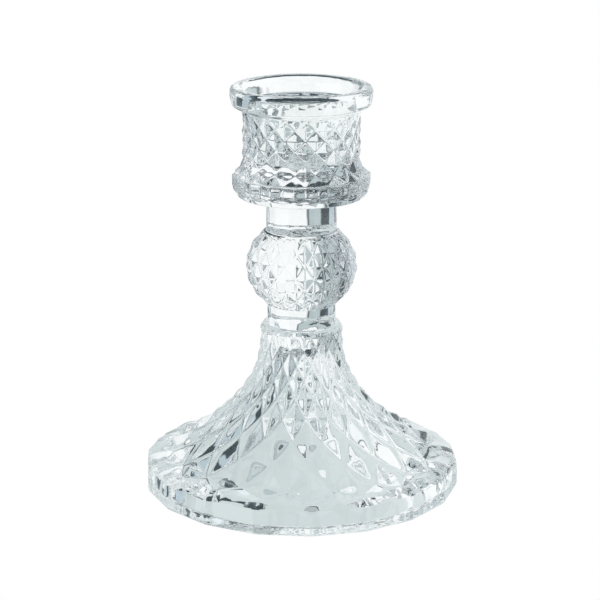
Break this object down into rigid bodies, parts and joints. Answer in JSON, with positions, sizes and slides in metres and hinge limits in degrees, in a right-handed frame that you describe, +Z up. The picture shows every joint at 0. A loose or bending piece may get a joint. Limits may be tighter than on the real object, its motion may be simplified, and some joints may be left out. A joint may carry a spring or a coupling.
{
  "type": "glass candlestick",
  "caption": "Clear pressed-glass taper candlestick with a diamond-cut cup, knop and flared foot; a socket on top takes the candle.",
  "frame": {"origin": "centre of the foot, on the surface that the candlestick stands on", "axes": "+Z up along the candlestick's axis, out of the socket; -Y runs through one corner of the foot's panels"},
  "size_m": [0.0804, 0.0816, 0.105],
  "materials": {
    "clear_glass": "fire-polished, glossy, very slightly blue-green in depth"
  },
  "bodies": {
    "root": {"candle_cup": "clear_glass", "neck": "clear_glass", "knop": "clear_glass", "collar": "clear_glass", "foot": "clear_glass"}
  },
  "joints": []
}
